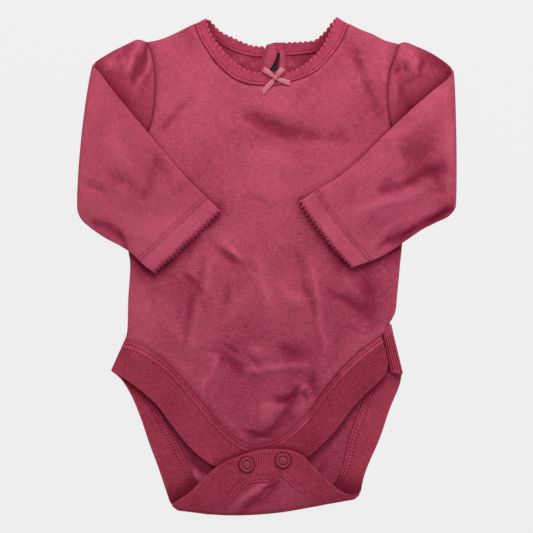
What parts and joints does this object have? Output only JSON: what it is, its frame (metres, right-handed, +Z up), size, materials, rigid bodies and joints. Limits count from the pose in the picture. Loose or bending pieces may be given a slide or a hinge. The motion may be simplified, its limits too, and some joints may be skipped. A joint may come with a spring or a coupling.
{
  "type": "baby bodysuit",
  "caption": "Long-sleeved cotton baby bodysuit laid flat, sleeves folded over the front, ribbed leg and neck bands, scalloped cuffs, ribbon bow and a crotch flap closed by press studs.",
  "frame": {"origin": "centre of the bounding box on the table that the garment lies on", "axes": "+Y from crotch to neck, +Z up from the table, +X to the right as seen from above with the neck at the top"},
  "size_m": [0.2885, 0.3782, 0.0099],
  "materials": {
    "jersey": "fine cotton jersey, matt",
    "rib": "cotton rib knit, matt",
    "edging": "crocheted cotton edging, matt",
    "satin": "satin ribbon, soft sheen",
    "enamel": "satin enamel"
  },
  "bodies": {
    "root": {"back_panel": "jersey", "front_panel": "jersey", "sleeve_left": "jersey", "sleeve_right": "jersey", "leg_band_back": "rib", "leg_band_front": "rib", "neck_band": "rib", "neck_tab": "rib", "cuff_edging_left": "edging", "cuff_edging_right": "edging", "keyhole_facing_left": "jersey", "keyhole_facing_right": "jersey", "bow_loop_left": "satin", "bow_loop_right": "satin", "bow_tail_left": "satin", "bow_tail_right": "satin", "bow_knot": "satin", "stud_cap_left": "enamel", "stud_cap_right": "enamel", "stud_socket_left": "enamel", "stud_socket_right": "enamel", "neck_stud": "enamel"}
  },
  "joints": []
}
